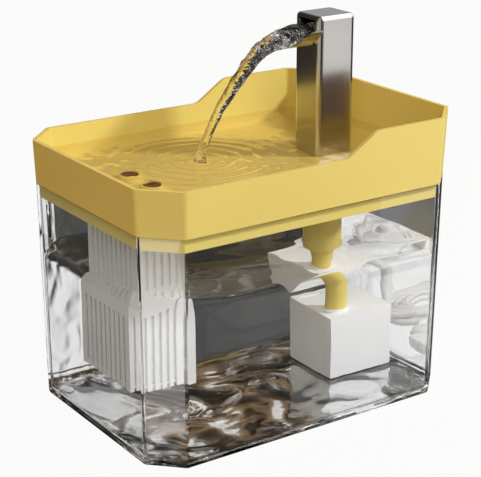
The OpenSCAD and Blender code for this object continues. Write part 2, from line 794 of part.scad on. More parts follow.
module pump_housing() {
    color([0.95, 0.95, 0.94])
    difference() {
        union() {
            difference() {
                block([pump_x, case_y, pump_z], [pump_x + pump_l, case_back, pump_top_z]);
                block([pump_x + pump_wall, pocket_y, pump_z + pump_wall],
                    [pump_x + pump_l - pump_wall, case_back + cut, pump_top_z - pump_wall]);
            }
            rod_y(rotor_x, pocket_y - cut, rotor_z, well_r + well_wall,
                well_back + bush_t + well_wall - pocket_y + cut);
        }
        rod_y(rotor_x, case_y - cut, rotor_z, volute_r, volute_w + cut);
        rod_y(rotor_x, volute_back - cut, rotor_z, well_r, well_w + cut);
        rod_y(rotor_x, well_back - cut, rotor_z, bush_d/2 + slip_gap, bush_t + cut);
        translate([faucet_x, 0, rotor_z]) cylinder(h = pump_h, d = outlet_d);
        translate([faucet_x, 0, pump_top_z - socket_deep]) cylinder(h = pump_h, d = socket_d);
        block([pump_x + 2*pump_wall, case_back - vent_w - 2*pump_wall, pump_top_z - vent_deep],
            [pump_x + 2*pump_wall + vent_l, case_back - 2*pump_wall, pump_top_z + cut]);
        for (i = [1:4]) pump_foot_space(i);
    }
}

function pump_foot_at(i) = [
    rotor_x + (i % 2 == 0 ? 1 : -1)*(pump_l/2 - pump_foot_d),
    i < 3 ? case_back - pump_foot_d : case_y + pump_foot_d,
    floor_z];

module pump_foot_space(i) {
    translate(pump_foot_at(i))
        cylinder(h = pump_z - floor_z + pump_foot_sink, d = pump_foot_d + 2*slip_gap);
}

module pump_foot(i) {
    color([0.35, 0.35, 0.36])
    translate(pump_foot_at(i))
        cylinder(h = pump_z - floor_z + pump_foot_sink, d = pump_foot_d);
}

// Plain cap over the intake, with water slots in its floor and its high end wall
module pump_cover() {
    slot = 2;
    color([0.95, 0.95, 0.94])
    difference() {
        block([pump_x, pump_y, pump_z], [pump_x + pump_l, pump_y + cover_w, pump_top_z]);
        block([pump_x + pump_wall, pump_y + pump_wall, pump_z + pump_wall],
            [pump_x + pump_l - pump_wall, pump_y + cover_w + cut, pump_top_z - pump_wall]);
        for (k = [-4:4])
            block([rotor_x + 2*slot*k - slot/2, pump_y + pump_wall, pump_z - cut],
                [rotor_x + 2*slot*k + slot/2, pump_y + cover_w - slot/2, pump_z + pump_wall + cut]);
        for (k = [-3:3])
            block([pump_x + pump_l - pump_wall - cut, pump_y + pump_wall, rotor_z + 2*slot*k - slot/2],
                [pump_x + pump_l + cut, pump_y + cover_w - slot/2, rotor_z + 2*slot*k + slot/2]);
    }
}

// Disc that closes the impeller chamber, with an intake eye and a spider for the bush
module volute_cover() {
    eye_r = 7;
    color([0.88, 0.88, 0.87])
    translate([rotor_x, case_y, rotor_z]) rotate([-90, 0, 0])
        linear_extrude(height = bush_t)
            difference() {
                union() {
                    difference() {
                        circle(r = volute_r - slip_gap);
                        circle(r = eye_r);
                    }
                    circle(r = bush_d/2 + well_wall);
                    for (a = [30:120:270])
                        rotate(a) translate([bush_d/2, -blade_t/2]) square([eye_r - bush_d/2 + cut, blade_t]);
                }
                circle(r = bush_d/2 + slip_gap);
            }
}

module bush(y) {
    color([0.2, 0.2, 0.2])
    difference() {
        rod_y(rotor_x, y, rotor_z, bush_d/2, bush_t);
        rod_y(rotor_x, y - cut, rotor_z, shaft_d/2 + shaft_gap/2, bush_t + 2*cut);
    }
}

module pump_shaft() {
    color([0.97, 0.96, 0.93])
    rod_y(rotor_x, case_y, rotor_z, shaft_d/2, well_back + bush_t - case_y);
}

// Straight-bladed wheel on a long quill that carries the magnet
module impeller() {
    front = volute_back - blade_w - 1;
    color([0.82, 0.86, 0.9])
    difference() {
        union() {
            rod_y(rotor_x, front, rotor_z, quill_r + 1, blade_w + 0.5);
            rod_y(rotor_x, front + blade_w - 0.5, rotor_z, blade_r - 2, 1);
            rod_y(rotor_x, front, rotor_z, quill_r, well_back - 1 - front);
            for (k = [0:blades - 1])
                translate([rotor_x, front, rotor_z]) rotate([0, 360*k/blades, 0])
                    block([quill_r, 0, -blade_t/2], [blade_r, blade_w, blade_t/2]);
        }
        rod_y(rotor_x, front - cut, rotor_z, shaft_d/2 + shaft_gap, well_back - front);
    }
}

module rotor_magnet() {
    color([0.28, 0.27, 0.26])
    difference() {
        rod_y(rotor_x, volute_back + 1, rotor_z, magnet_r, well_w - 3);
        rod_y(rotor_x, volute_back, rotor_z, quill_r + slip_gap/2, well_w);
    }
}

// Laminated U: two legs beside the rotor's well, joined behind it
module stator_core() {
    near = well_r + well_wall + slip_gap;
    far = near + wind_t + pole_w;
    yoke_y = well_back + bush_t + well_wall + slip_gap;
    color([0.42, 0.43, 0.45]) {
        for (s = [-1, 1]) {
            block([rotor_x + min(s*(near + wind_t), s*far), pocket_y + seat_gap, rotor_z - pole_h/2],
                [rotor_x + max(s*(near + wind_t), s*far), case_back - cap_t - seat_gap,
                    rotor_z + pole_h/2]);
            block([rotor_x + min(s*near, s*(far - cut)), pocket_y + seat_gap, rotor_z - pole_h/2],
                [rotor_x + max(s*near, s*(far - cut)), pocket_y + pole_w, rotor_z + pole_h/2]);
        }
        block([rotor_x - far, yoke_y, rotor_z - pole_h/2],
            [rotor_x + far, case_back - cap_t - seat_gap, rotor_z + pole_h/2]);
    }
}

// Copper winding round one leg of the stator
module stator_coil(s) {
    near = well_r + well_wall + slip_gap;
    mid = s*(near + wind_t + pole_w/2);
    half = pole_w/2 + wind_t - 2*slip_gap;
    y0 = pocket_y + pole_w + seat_gap;
    y1 = well_back + bush_t + well_wall - seat_gap;
    color([0.76, 0.42, 0.2])
    difference() {
        block([rotor_x + mid - half, y0, rotor_z - pole_h/2 - wind_t],
            [rotor_x + mid + half, y1, rotor_z + pole_h/2 + wind_t]);
        block([rotor_x + mid - pole_w/2 - slip_gap, y0 - cut, rotor_z - pole_h/2 - slip_gap],
            [rotor_x + mid + pole_w/2 + slip_gap, y1 + cut, rotor_z + pole_h/2 + slip_gap]);
    }
}

// Lid of the dry pocket, set in flush, with the cord's way out
module pump_rear_cap() {
    in = pump_wall + slip_gap;
    color([0.95, 0.95, 0.94])
    difference() {
        block([pump_x + in, case_back - cap_t, pump_z + in],
            [pump_x + pump_l - in, case_back, pump_top_z - in]);
        rod_y(gland_x, case_back - cap_t - cut, gland_z, cord_d/2 + slip_gap, cap_t + 2*cut);
    }
}

// Tapered sleeve where the cord leaves the pump
module cord_gland() {
    color([0.9, 0.9, 0.89])
    translate([gland_x, case_back, gland_z]) rotate([-90, 0, 0])
        difference() {
            cylinder(h = gland_l, r1 = cord_d, r2 = cord_d/2 + 0.7);
            translate([0, 0, -cut]) cylinder(h = gland_l + 2*cut, d = cord_d + 2*slip_gap);
        }
}

// ---------- cord and plug ----------

module usb_cord() {
    inside = [gland_x, case_back - cap_t, gland_z];
    color([0.93, 0.93, 0.93]) sweep(smooth(concat([inside], cord_route), 2), cord_d/2, 8);
}

module cord_coil() {
    color([0.93, 0.93, 0.93])
    translate([coil_x, coil_y, 0])
        rotate_extrude($fn = 64)
            translate([coil_r - coil_half, 0]) square([2*coil_half, coil_h]);
}

module cord_tail() {
    color([0.93, 0.93, 0.93]) sweep(smooth(tail_route, 2), cord_d/2, 8);
}

// Places what lies along the plug's axis, +X from the sleeve's rear end to the shell's mouth
module at_plug() {
    translate([usb_x, usb_y, usb_z]) rotate([0, 0, -90]) children();
}

module plug_sleeve() {
    color([0.92, 0.92, 0.92]) at_plug()
        rotate([0, 90, 0]) difference() {
            cylinder(h = sleeve_l, d = sleeve_d);
            translate([0, 0, -cut]) cylinder(h = cut + sleeve_l/2, d = cord_d + 2*slip_gap);
        }
}

module plug_body() {
    color([0.97, 0.97, 0.97]) at_plug()
        translate([sleeve_l, 0, -usb_t/2])
            loft(concat(
                [for (k = [0:edge_n]) let(a = 90*k/edge_n)
                    lift(shifted(rounded(usb_l - 2*(1 - sin(a)), usb_w - 2*(1 - sin(a)), 1.6)),
                        1 - cos(a))],
                [for (k = [0:edge_n]) let(a = 90*k/edge_n)
                    lift(shifted(rounded(usb_l - 2*(1 - cos(a)), usb_w - 2*(1 - cos(a)), 1.6)),
                        usb_t - 1 + sin(a))]));
}

function shifted(points) = [for (p = points) [p.x + usb_l/2, p.y]];

module plug_shell() {
    x0 = sleeve_l + usb_l;
    color([0.8, 0.8, 0.8]) at_plug()
        difference() {
            block([x0, -shell_w/2, -shell_t/2], [x0 + shell_l, shell_w/2, shell_t/2]);
            block([x0 - cut, -shell_w/2 + shell_wall, -shell_t/2 + shell_wall],
                [x0 + shell_l + cut, shell_w/2 - shell_wall, shell_t/2 - shell_wall]);
            for (y = [-1, 1]*shell_w/4)
                block([x0 + shell_l/2 - shell_hole/2, y - shell_hole/2, -shell_t],
                    [x0 + shell_l/2 + shell_hole/2, y + shell_hole/2, shell_t]);
        }
}

// White insulator that fills the lower half of the shell
module plug_tongue() {
    x0 = sleeve_l + usb_l;
    color([0.98, 0.98, 0.98]) at_plug()
        block([x0, -shell_w/2 + shell_wall + slip_gap, -shell_t/2 + shell_wall + slip_gap],
            [x0 + shell_l - 1, shell_w/2 - shell_wall - slip_gap, -slip_gap]);
}

// ---------- nodes ----------

tank();
for (i = [1:4]) tank_foot(i);
cord_grommet();
tray();
drain_grate(-1);  // drain_grate_1
drain_grate(1);  // drain_grate_2
faucet_column();
spout_lip();
faucet_core();
faucet_seal();
filter_cage();
filter_lid();
filter_cotton();
carbon_pack();
riser_pipe();
outlet_nozzle();
pump_housing();
pump_cover();
volute_cover();
impeller();
rotor_magnet();
pump_shaft();
bush(case_y);  // front_bush
bush(well_back);  // rear_bush
stator_core();
stator_coil(-1);  // stator_coil_1
stator_coil(1);  // stator_coil_2
pump_rear_cap();
for (i = [1:4]) pump_foot(i);
cord_gland();
usb_cord();
cord_coil();
cord_tail();
plug_sleeve();
plug_body();
plug_shell();
plug_tongue();
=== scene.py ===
"""A pet water fountain: clear tank, amber tray, steel faucet, filter, pump and USB lead, with water in it."""

import json
import math

import bmesh
import bpy
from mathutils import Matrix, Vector, noise


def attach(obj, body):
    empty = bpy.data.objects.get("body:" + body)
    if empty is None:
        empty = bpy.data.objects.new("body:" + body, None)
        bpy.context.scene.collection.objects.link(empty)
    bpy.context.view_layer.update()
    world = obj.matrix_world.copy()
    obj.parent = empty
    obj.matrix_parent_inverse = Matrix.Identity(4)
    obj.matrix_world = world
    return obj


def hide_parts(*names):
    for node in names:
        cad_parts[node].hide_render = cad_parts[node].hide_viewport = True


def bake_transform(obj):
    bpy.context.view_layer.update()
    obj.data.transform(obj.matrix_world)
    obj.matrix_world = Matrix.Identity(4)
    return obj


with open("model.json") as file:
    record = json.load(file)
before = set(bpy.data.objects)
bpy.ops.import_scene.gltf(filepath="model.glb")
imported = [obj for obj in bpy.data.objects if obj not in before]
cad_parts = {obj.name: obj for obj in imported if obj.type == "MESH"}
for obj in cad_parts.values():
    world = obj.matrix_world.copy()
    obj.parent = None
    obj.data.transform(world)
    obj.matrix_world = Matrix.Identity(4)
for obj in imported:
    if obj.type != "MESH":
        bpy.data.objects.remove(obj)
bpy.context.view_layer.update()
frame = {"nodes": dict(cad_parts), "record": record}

MM = 0.001
IMAGE_W = 481
SENSOR_MM = 36.0
WHITE = (1, 1, 1)


def place(obj):
    bpy.context.scene.collection.objects.link(obj)
    return obj


# ---------- camera ----------

# Solved from the corners of the tank and the tray in the photograph; lengths in metres
FOCAL_PX = 1492.28
AZIMUTH = math.radians(-34.26)
ELEVATION = math.radians(19.43)
DISTANCE = 0.91314
TARGET = Vector((-0.00072, 0.00049, 0.09884))
VIEW_END = 20


def aim(obj, direction):
    obj.rotation_euler = direction.to_track_quat("-Z", "Y").to_euler()


def make_camera():
    back = Vector((
        math.sin(AZIMUTH) * math.cos(ELEVATION),
        -math.cos(AZIMUTH) * math.cos(ELEVATION),
        math.sin(ELEVATION),
    ))
    data = bpy.data.cameras.new("camera")
    data.sensor_width = SENSOR_MM
    data.lens = FOCAL_PX / IMAGE_W * SENSOR_MM
    data.clip_end = VIEW_END
    camera = place(bpy.data.objects.new("camera", data))
    camera.location = TARGET + back * DISTANCE
    aim(camera, -back)
    bpy.context.scene.camera = camera


make_camera()


# ---------- shader nodes ----------

class Nodes:
    """A node tree and short calls that add to it."""

    def __init__(self, tree):
        self.tree = tree

    def node(self, kind, **values):
        made = self.tree.nodes.new(kind)
        for key, value in values.items():
            setattr(made, key, value)
        return made

    def link(self, a, b):
        self.tree.links.new(a, b)

    def feed(self, socket, value):
        """Sets a socket to a number or a colour, or links it to another socket."""
        if isinstance(value, tuple):
            socket.default_value = (*value, 1)
        elif isinstance(value, (int, float)):
            socket.default_value = value
        else:
            self.link(value, socket)

    def calculate(self, operation, *values):
        made = self.node("ShaderNodeMath", operation=operation)
        for socket, value in zip(made.inputs, values):
            self.feed(socket, value)
        return made.outputs[0]

    def span(self, value, start, end, low=0.0, high=1.0, kind="LINEAR"):
        """Goes from low to high while the value goes from start to end, and no further."""
        made = self.node("ShaderNodeMapRange", interpolation_type=kind)
        ends = {"Value": value, "From Min": start, "From Max": end, "To Min": low, "To Max": high}
        for key, number in ends.items():
            self.feed(made.inputs[key], number)
        return made.outputs["Result"]

    def axis(self, vector, name):
        parts = self.node("ShaderNodeSeparateXYZ")
        self.link(vector, parts.inputs[0])
        return parts.outputs[name]

    def cloud(self, vector, scale, detail, distortion):
        made = self.node("ShaderNodeTexNoise")
        self.link(vector, made.inputs["Vector"])
        for key, number in {"Scale": scale, "Detail": detail, "Distortion": distortion}.items():
            self.feed(made.inputs[key], number)
        return made.outputs["Fac"]

    def ramp(self, value, stops):
        """Colours by value, from (value, colour) stops."""
        made = self.node("ShaderNodeValToRGB")
        elements = made.color_ramp.elements
        while len(elements) < len(stops):
            elements.new(0.5)
        for element, (at, color) in zip(elements, stops):
            element.position = at
            element.color = (*color, 1)
        self.link(value, made.inputs["Fac"])
        return made.outputs["Color"]

    def rays(self):
        return self.node("ShaderNodeLightPath").outputs

    def emission(self, color, strength=1.0):
        made = self.node("ShaderNodeEmission")
        self.feed(made.inputs["Color"], color)
        self.feed(made.inputs["Strength"], strength)
        return made.outputs[0]

    def mix(self, factor, a, b):
        """Shader a where the factor is 0, and b where it is 1."""
        made = self.node("ShaderNodeMixShader")
        for socket, value in zip(made.inputs, (factor, a, b)):
            self.link(value, socket)
        return made.outputs[0]


class Surface(Nodes):
    """A Principled material and short calls that add procedural detail to it."""

    def __init__(self, name, color, **sockets):
        self.mat = bpy.data.materials.new(name)
        self.mat.use_nodes = True
        super().__init__(self.mat.node_tree)
        self.shader = self.tree.nodes["Principled BSDF"]
        self.coords = self.node("ShaderNodeTexCoord").outputs["Object"]
        self.last_normal = None
        self.set("Base Color", color)
        for key, value in sockets.items():
            self.set(key.replace("_", " "), value)

    def set(self, socket, value):
        self.feed(self.shader.inputs[socket], value)

    def show(self, shader):
        self.link(shader, self.tree.nodes["Material Output"].inputs["Surface"])

    def noise(self, scale, detail=2.0, stretch=(1, 1, 1), distortion=0.0):
        mapping = self.node("ShaderNodeMapping")
        mapping.inputs["Scale"].default_value = stretch
        self.link(self.coords, mapping.inputs["Vector"])
        return self.cloud(mapping.outputs["Vector"], scale, detail, distortion)

    def mask(self, axis, one, zero):
        """Falls from 1 to 0 between two places on an axis, in metres."""
        return self.span(self.axis(self.coords, axis), zero, one)

    def vary_color(self, value, stops):
        self.set("Base Color", self.ramp(value, stops))

    def vary_roughness(self, value, low, high):
        self.set("Roughness", self.span(value, 0, 1, low, high))

    def bump(self, value, height):
        """Adds relief. The height is in metres, from the value 0 to the value 1."""
        made = self.node("ShaderNodeBump")
        self.feed(made.inputs["Distance"], height)
        self.link(value, made.inputs["Height"])
        if self.last_normal:
            self.link(self.last_normal, made.inputs["Normal"])
        self.last_normal = made.outputs["Normal"]
        self.set("Normal", self.last_normal)
        if self.shader.inputs["Coat Weight"].default_value > 0:
            self.set("Coat Normal", self.last_normal)

    def let_light_through(self):
        """Lamps and soft light reach what is behind, as caustics would bring them there."""
        rays = self.rays()
        clear = self.node("ShaderNodeBsdfTransparent")
        passes = self.calculate("MAXIMUM", rays["Is Shadow Ray"], rays["Is Diffuse Ray"])
        self.show(self.mix(passes, self.shader.outputs[0], clear.outputs[0]))


# ---------- materials ----------

# How strongly clear things bend light. Real plastic is at about 1.49 and water at 1.33. All but the
# stream are set weaker, because that matches the photograph better.
PLASTIC_IOR = 1.25
TANK_WATER_IOR = 1.15
TRAY_WATER_IOR = 1.06
STREAM_IOR = 1.33
# The gloss of water. What bends light less than this wears it as a coat.
GLOSS_IOR = 1.33


def shades(color, spread):
    """A little darker where a noise is low, and a little lighter where it is high."""
    low = tuple(c * (1 - spread) for c in color)
    high = tuple(min(c * (1 + spread), 1) for c in color)
    return [(0.3, low), (0.7, high)]


def clear_surface(name, color, ior):
    """Clear stuff, under a glossy coat where it bends light less than water does."""
    s = Surface(name, color, Roughness=0.0, IOR=ior, Transmission_Weight=1.0)
    if ior < GLOSS_IOR:
        s.set("Coat Weight", 1.0)
        s.set("Coat Roughness", 0.0)
        s.set("Coat IOR", GLOSS_IOR)
    return s


def clear_plastic():
    s = clear_surface("clear_plastic", (0.985, 0.99, 0.99), PLASTIC_IOR)
    s.bump(s.noise(scale=20, detail=1), height=0.0003)
    # Waves on the tank's floor
    on_floor = s.mask("Z", 0.0036, 0.005)
    waves = s.noise(scale=24, detail=1, distortion=0.6)
    s.bump(s.calculate("MULTIPLY", waves, on_floor), height=0.005)
    # Waves on the far wall at the drinking end
    far_left = s.calculate("MULTIPLY", s.mask("Y", 0.07, 0.065), s.mask("X", -0.05, -0.03))
    waves = s.noise(scale=30, detail=1, distortion=1.0)
    s.bump(s.calculate("MULTIPLY", waves, far_left), height=0.004)
    s.let_light_through()
    return s.mat


def water(name, ior, ripple_scale, ripple_height, tint=WHITE):
    s = clear_surface(name, tint, ior)
    s.bump(s.noise(ripple_scale, detail=2, distortion=0.6), ripple_height)
    s.let_light_through()
    return s.mat


def amber_plastic():
    base = (0.78, 0.625, 0.17)
    s = Surface("amber_plastic", base, Roughness=0.5, IOR=1.5)
    s.vary_color(s.noise(scale=9), shades(base, 0.03))
    s.vary_roughness(s.noise(scale=60, detail=3), 0.46, 0.54)
    s.bump(s.noise(scale=2600), height=0.000012)
    return s.mat


def polished_steel():
    """Steel with fine upright brush marks."""
    base = (0.63, 0.61, 0.585)
    s = Surface("polished_steel", base, Metallic=1.0, Roughness=0.2)
    s.vary_color(s.noise(scale=30), shades(base, 0.02))
    s.vary_roughness(s.noise(scale=24, detail=3, stretch=(1, 1, 0.4)), 0.17, 0.23)
    s.bump(s.noise(scale=900, stretch=(1, 1, 0.02)), height=0.000004)
    return s.mat


def satin(name, base, roughness, height=0.00001, **sockets):
    """A smooth surface with faintly uneven colour and gloss, and a fine grain."""
    s = Surface(name, base, Roughness=roughness, **sockets)
    s.vary_color(s.noise(scale=40), shades(base, 0.025))
    s.vary_roughness(s.noise(scale=90), roughness * 0.9, min(roughness * 1.1, 1))
    s.bump(s.noise(scale=1800), height)
    return s.mat


def cotton():
    s = Surface("cotton", (0.9, 0.9, 0.88), Roughness=0.95, Sheen_Weight=0.4)
    s.vary_color(s.noise(scale=300, detail=4), [(0.3, (0.72, 0.72, 0.7)), (0.7, (0.93, 0.93, 0.91))])
    s.bump(s.noise(scale=420, detail=5), height=0.0007)
    return s.mat


def carbon():
    s = Surface("carbon", (0.04, 0.04, 0.045), Roughness=0.7)
    s.bump(s.noise(scale=700, detail=3), height=0.0012)
    return s.mat


def laminations():
    """A stack of thin steel sheets, flat across Z."""
    s = Surface("stator_steel", (0.35, 0.36, 0.38), Metallic=1.0, Roughness=0.38)
    sheets = s.noise(scale=1500, detail=1, stretch=(0.02, 0.02, 1))
    s.vary_color(sheets, [(0.45, (0.16, 0.16, 0.17)), (0.55, (0.42, 0.43, 0.45))])
    s.bump(sheets, height=0.0001)
    return s.mat


def windings():
    """Copper wire side by side along Y."""
    s = Surface("copper", (0.6, 0.26, 0.1), Metallic=1.0, Roughness=0.3)
    wires = s.noise(scale=1800, detail=1, stretch=(0.02, 1, 0.02))
    s.vary_color(wires, [(0.4, (0.32, 0.12, 0.05)), (0.6, (0.68, 0.32, 0.14))])
    s.bump(wires, height=0.0002)
    return s.mat


SLOT_MATERIALS = {
    "clear_plastic": clear_plastic(),
    "amber_plastic": amber_plastic(),
    "polished_steel": polished_steel(),
    "white_rubber": satin("white_rubber", (0.86, 0.86, 0.85), 0.55),
    "black_plastic": satin("black_plastic", (0.012, 0.012, 0.014), 0.3),
    "white_plastic": satin("white_plastic", (0.82, 0.82, 0.81), 0.35),
    "cotton": cotton(),
    "carbon": carbon(),
    "pump_plastic": satin("pump_plastic", (0.95, 0.95, 0.95), 0.32),
    "impeller_plastic": satin("impeller_plastic", (0.62, 0.7, 0.78), 0.3),
    "magnet": satin("magnet", (0.06, 0.058, 0.055), 0.5, Metallic=0.6),
    "ceramic": satin("ceramic", (0.88, 0.87, 0.83), 0.15),
    "bush_rubber": satin("bush_rubber", (0.03, 0.03, 0.03), 0.6),
    "stator_steel": laminations(),
    "copper": windings(),
    "cord_sheath": satin("cord_sheath", (0.86, 0.86, 0.86), 0.42, height=0.000006),
    "plug_plastic": satin("plug_plastic", (0.9, 0.9, 0.9), 0.28),
    "plug_steel": satin("plug_steel", (0.78, 0.78, 0.79), 0.16, Metallic=1.0),
}
# Painted shade: the grates are coloured dark brown so that the drain mouths show only dark shade where the
# grates are
GRATE_PAINTED_SHADE = satin("grate_painted_shade", (0.2, 0.075, 0.008), 0.3)
NODE_SLOTS = {s["node"]: s["material_slot"] for s in frame["record"]["subparts"]}


def dress_nodes():
    for name, obj in frame["nodes"].items():
        finish = GRATE_PAINTED_SHADE if name.startswith("drain_grate") else SLOT_MATERIALS[NODE_SLOTS[name]]
        obj.data.materials.clear()
        obj.data.materials.append(finish)


dress_nodes()


# ---------- shapes ----------

# Faces that meet at a larger angle keep a sharp edge
SHARP_ANGLE = math.radians(32)


def smooth_path(points, steps):
    """Catmull-Rom curve through the points, with as many steps in each stretch."""
    p = [Vector(q) for q in points]
    made = []
    for i in range(len(p) - 1):
        a, b, c, d = p[max(i - 1, 0)], p[i], p[i + 1], p[min(i + 2, len(p) - 1)]
        for k in range(steps):
            t = k / steps
            made.append(0.5 * (
                2 * b + (c - a) * t + (2 * a - 5 * b + 4 * c - d) * t ** 2
                + (3 * b - a - 3 * c + d) * t ** 3
            ))
    return made + [p[-1]]


def loft(name, rings, material):
    """A closed tube through rings that have as many points each, in millimetres."""
    bm = bmesh.new()
    rows = [[bm.verts.new(p * MM) for p in ring] for ring in rings]
    count = len(rows[0])
    for low, high in zip(rows, rows[1:]):
        for i in range(count):
            j = (i + 1) % count
            bm.faces.new((low[i], low[j], high[j], high[i]))
    bm.faces.new(rows[0][::-1])
    bm.faces.new(rows[-1])
    bmesh.ops.recalc_face_normals(bm, faces=bm.faces)
    mesh = bpy.data.meshes.new(name)
    bm.to_mesh(mesh)
    bm.free()
    mesh.shade_smooth()
    mesh.set_sharp_from_angle(angle=SHARP_ANGLE)
    mesh.materials.append(material)
    return place(bpy.data.objects.new(name, mesh))


# ---------- cord ----------

# Millimetres, as in the part's source
CORD_D = 4
COIL_CENTRE = (149.5, 72)
COIL_R = 23.5
COIL_TURNS = 4
COIL_STEPS = 36
# Where in a turn the cord starts to step over, and how much of the last turn is left off
SHIFT_FROM = 0.86
LEFT_OFF = 0.25
ROUTE_STEPS = 4
CORD_ROUTE = [
    (83.5, 49.5, 12.9), (83.5, 54, 13), (86, 58, 14), (90, 59, 20),
    (92.5, 57, 30), (93, 54, 46), (93, 52, 66), (93, 51, 88), (93, 50, 108), (93, 50, 122),
    (94, 50, 128.4), (97, 50, 132.8), (101, 50, 134.5), (106, 50, 134.5),
    (110, 50, 134.5), (113.6, 50, 133.2), (116.6, 50, 130), (118, 50, 124),
    (118, 50, 108), (118.6, 50, 84), (118.6, 50, 60), (118, 50, 36), (118, 50.4, 18),
    (118, 52, 10), (118, 56, 4), (118.4, 62, 2), (119.4, 67, 2), (120, 72, 2),
]
TAIL_ROUTE = [
    (150, 42.5, 6), (144, 42.6, 5.6), (137, 41.6, 5), (130, 38.4, 4.4), (126, 33.4, 4), (125, 28, 4),
]


def coil_points():
    """Clockwise turns: inwards on the floor, up, and outwards on top.

    The cord steps over to the next turn in the last part of each.
    """
    radii = [COIL_R + CORD_D * ((COIL_TURNS - 1) / 2 - k) for k in range(COIL_TURNS)]
    radii = radii + radii[::-1]
    heights = [CORD_D / 2] * COIL_TURNS + [CORD_D * 1.5] * COIL_TURNS
    points = []
    for i in range(1, int((len(radii) - LEFT_OFF) * COIL_STEPS)):
        turn = i / COIL_STEPS
        k = int(turn)
        part = max(turn - k - SHIFT_FROM, 0) / (1 - SHIFT_FROM)
        ease = part * part * (3 - 2 * part)
        n = min(k + 1, len(radii) - 1)
        r = radii[k] + (radii[n] - radii[k]) * ease
        z = heights[k] + (heights[n] - heights[k]) * ease
        a = math.pi - 2 * math.pi * turn
        points.append(Vector((COIL_CENTRE[0] + r * math.cos(a), COIL_CENTRE[1] + r * math.sin(a), z)))
    return points


def make_cord():
    path = smooth_path(CORD_ROUTE, ROUTE_STEPS) + coil_points() + smooth_path(TAIL_ROUTE, ROUTE_STEPS)
    curve = bpy.data.curves.new("usb_lead", "CURVE")
    curve.dimensions = "3D"
    curve.bevel_depth = CORD_D / 2 * MM
    curve.bevel_resolution = 3
    curve.use_fill_caps = True
    spline = curve.splines.new("POLY")
    spline.points.add(len(path) - 1)
    for point, at in zip(spline.points, path):
        point.co = (*(at * MM), 1)
    spline.use_smooth = True
    curve.materials.append(SLOT_MATERIALS["cord_sheath"])
    lead = place(bpy.data.objects.new("usb_lead", curve))
    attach(lead, "tank")
    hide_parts("usb_cord", "cord_coil", "cord_tail")


make_cord()


# ---------- water ----------

# The tank's and the tray's outline and drafted walls in millimetres, as in the part's source
BODY_L, BODY_W, CORNER, CORNER_R = 220, 159, 20, 6
TRAY_DRAFT, TANK_DRAFT = 1.5, 1.9
SEAM_Z, RIM_Z = 138.3, 178.8
TANK_WALL, TRAY_WALL = 3, 2.5
SMALLEST_R = 1

# How far the water reaches into the walls, so that no air shows between them
OVERLAP = 0.3
# Shares of the pool's floor, from the middle out, where it has a ring
FLOOR_PARTS = (0.02, 0.3, 0.6, 0.85, 1.0)
COVE_STEPS = 4
SHOULDER_STEPS = 12
# Rings of the surface, and how small one ring more would be, as a share of the outermost
SURFACE_STEPS = 70
CENTRE_PART = 0.004
ARC_STEPS = 6
# Short steps that cut an end side, a chamfer, a long side and the next chamfer of the outline
SIDE_CUTS = (28, 5, 42, 5)

# Waves as (height, length, direction, phase), in millimetres and radians
TANK_WAVES = [(0.5, 62, 0.5, 0.3), (0.3, 37, 2.1, 1.9), (0.14, 21, 1.2, 4.0), (0.06, 13, 2.8, 2.2)]
TRAY_WAVES = [(0.2, 60, 0.9, 0.6), (0.16, 33, 2.3, 2.8), (0.1, 19, 1.6, 1.1), (0.06, 11, 0.3, 3.3)]
# The tank's water stands higher in the front corner
FRONT_CORNER = Vector((-98, -66))
CORNER_RISE, CORNER_REACH = 4.5, 42
# The stream lands about here, in a small mound with rings round it
IMPACT = Vector((-29, 1.5))
MOUND_RISE, MOUND_REACH = 0.9, 5
RING_RISE, RING_LENGTH, RING_PHASE, RING_REACH = 0.75, 9.5, 1.2, 34


def outline(inset):
    """Octagon with rounded corners inside the body's outline, its sides cut into short steps."""
    long, wide = BODY_L - 2 * inset, BODY_W - 2 * inset
    leg = CORNER - (2 - math.sqrt(2)) * inset
    r = max(CORNER_R - inset, SMALLEST_R)
    reach = (long + wide) / 2 - leg - r * math.sqrt(2)
    corners = []
    for j in range(8):
        mid = math.radians(45 * (j + 0.5))
        on_end = abs(math.cos(mid)) > abs(math.sin(mid))
        cx = math.copysign(long / 2 - r if on_end else reach - wide / 2 + r, math.cos(mid))
        cy = math.copysign(reach - long / 2 + r if on_end else wide / 2 - r, math.sin(mid))
        arc = [math.radians(45 * (j + i / ARC_STEPS)) for i in range(ARC_STEPS + 1)]
        corners.append([Vector((cx + r * math.cos(a), cy + r * math.sin(a))) for a in arc])
    points = []
    for j, corner in enumerate(corners):
        points += corner
        start, end = corner[-1], corners[(j + 1) % 8][0]
        cuts = SIDE_CUTS[(j + 1) % 4]
        points += [start.lerp(end, k / cuts) for k in range(1, cuts)]
    return points


def skin(z):
    """How far the drafted outside wall stands in at a height."""
    if z < SEAM_Z:
        return TRAY_DRAFT + TANK_DRAFT * (SEAM_Z - z) / SEAM_Z
    return TRAY_DRAFT * (RIM_Z - z) / (RIM_Z - SEAM_Z)


def fade(distance, reach):
    return math.exp(-(distance / reach) ** 2)


def swell(q, waves):
    return sum(h * math.sin(2 * math.pi * (q.x * math.cos(a) + q.y * math.sin(a)) / length + phase)
               for h, length, a, phase in waves)


def tank_height(q):
    return swell(q, TANK_WAVES) + CORNER_RISE * fade((q - FRONT_CORNER).length, CORNER_REACH)


def tray_height(q):
    d = (q - IMPACT).length
    ring = RING_RISE * math.sin(2 * math.pi * d / RING_LENGTH - RING_PHASE) * math.exp(-d / RING_REACH)
    return swell(q, TRAY_WAVES) + ring + MOUND_RISE * fade(d, MOUND_REACH)


